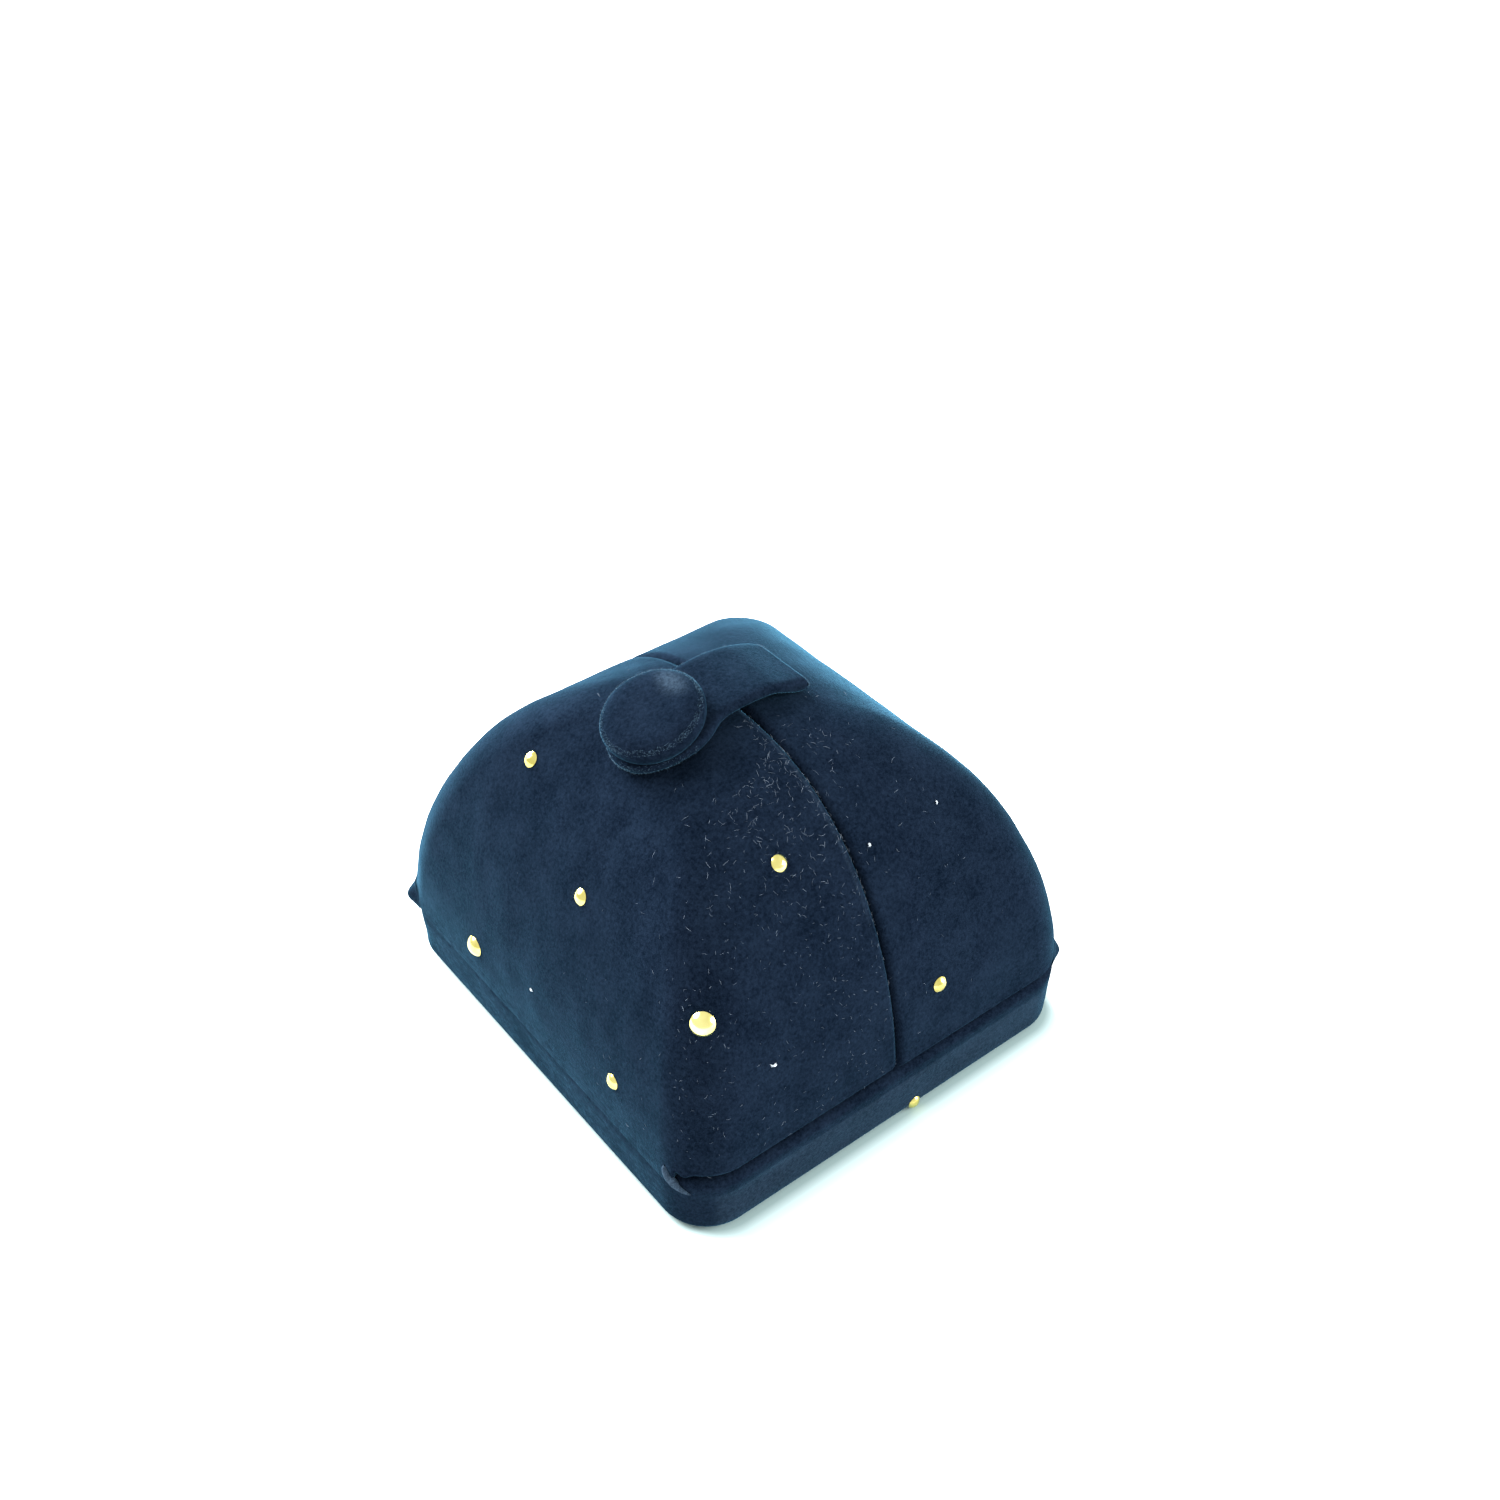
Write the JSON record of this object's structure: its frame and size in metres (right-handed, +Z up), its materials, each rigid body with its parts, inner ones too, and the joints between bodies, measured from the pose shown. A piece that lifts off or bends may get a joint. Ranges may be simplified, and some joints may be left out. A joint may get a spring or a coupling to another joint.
{
  "type": "ring box",
  "caption": "Velvet-covered ring box with a domed lid that splits into two side-hinged doors, a magnetic strap and button, and a slotted ring pad inside.",
  "frame": {"origin": "centre of the footprint, on the surface that the box stands on", "axes": "+Z up; -Y is the front, from which both doors are seen to open sideways; +X is the right door's side"},
  "size_m": [0.0612, 0.0652, 0.0508],
  "materials": {
    "velvet": "deep navy velvet with a short upright pile",
    "plastic": "moulded black plastic",
    "satin": "ivory satin cloth",
    "foam": "soft open-cell foam",
    "paper": "embossed leather-effect bottom paper",
    "card": "grey board",
    "gold": "polished gold-coloured plate",
    "hinge_brass": "satin brass",
    "steel": "plain steel",
    "magnet": "nickel-plated magnet"
  },
  "bodies": {
    "base": {"base_shell": "plastic", "base_velvet": "velvet", "base_studs": "gold", "bottom_panel": "paper", "insert_frame": "velvet", "pad_board": "card", "ring_pad_foam_front": "foam", "ring_pad_cover_front": "satin", "ring_pad_foam_back": "foam", "ring_pad_cover_back": "satin", "left_hinge_base_leaf": "hinge_brass", "left_hinge_base_rivets": "steel", "left_hinge_pin": "steel", "left_hinge_cloth": "velvet", "right_hinge_base_leaf": "hinge_brass", "right_hinge_base_rivets": "steel", "right_hinge_pin": "steel", "right_hinge_cloth": "velvet"},
    "left_door": {"left_door_velvet": "velvet", "left_door_shell": "plastic", "left_door_lining": "satin", "left_door_small_studs": "gold", "left_door_large_studs": "gold", "left_hinge_door_leaf": "hinge_brass", "left_hinge_door_rivets": "steel", "door_magnet": "magnet"},
    "right_door": {"right_door_velvet": "velvet", "right_door_shell": "plastic", "right_door_lining": "satin", "right_door_small_studs": "gold", "right_door_large_studs": "gold", "right_hinge_door_leaf": "hinge_brass", "right_hinge_door_rivets": "steel", "strap_tail": "velvet"},
    "strap": {"strap_velvet": "velvet", "strap_core": "card", "button_cover": "velvet", "button_cap": "steel", "button_back": "steel", "button_magnet": "magnet"}
  },
  "joints": [
    {"name": "left_door_hinge", "type": "hinge", "parent": "base", "child": "left_door", "pos_m": [-0.0283, 0, 0.0092], "axis": [0, -1, 0], "range_deg": [0, 90], "deforming": ["left_hinge_cloth"]},
    {"name": "right_door_hinge", "type": "hinge", "parent": "base", "child": "right_door", "pos_m": [0.0283, 0, 0.0092], "axis": [0, 1, 0], "range_deg": [0, 90], "deforming": ["right_hinge_cloth"]},
    {"name": "strap_lift", "type": "hinge", "parent": "right_door", "child": "strap", "pos_m": [0.00713, 0, 0.04714], "axis": [0, 1, 0], "range_deg": [0, 175.5]}
  ],
  "couplings": [
    {"joint": "strap_lift", "follows": "left_door_hinge", "ratio": 1.95}
  ]
}
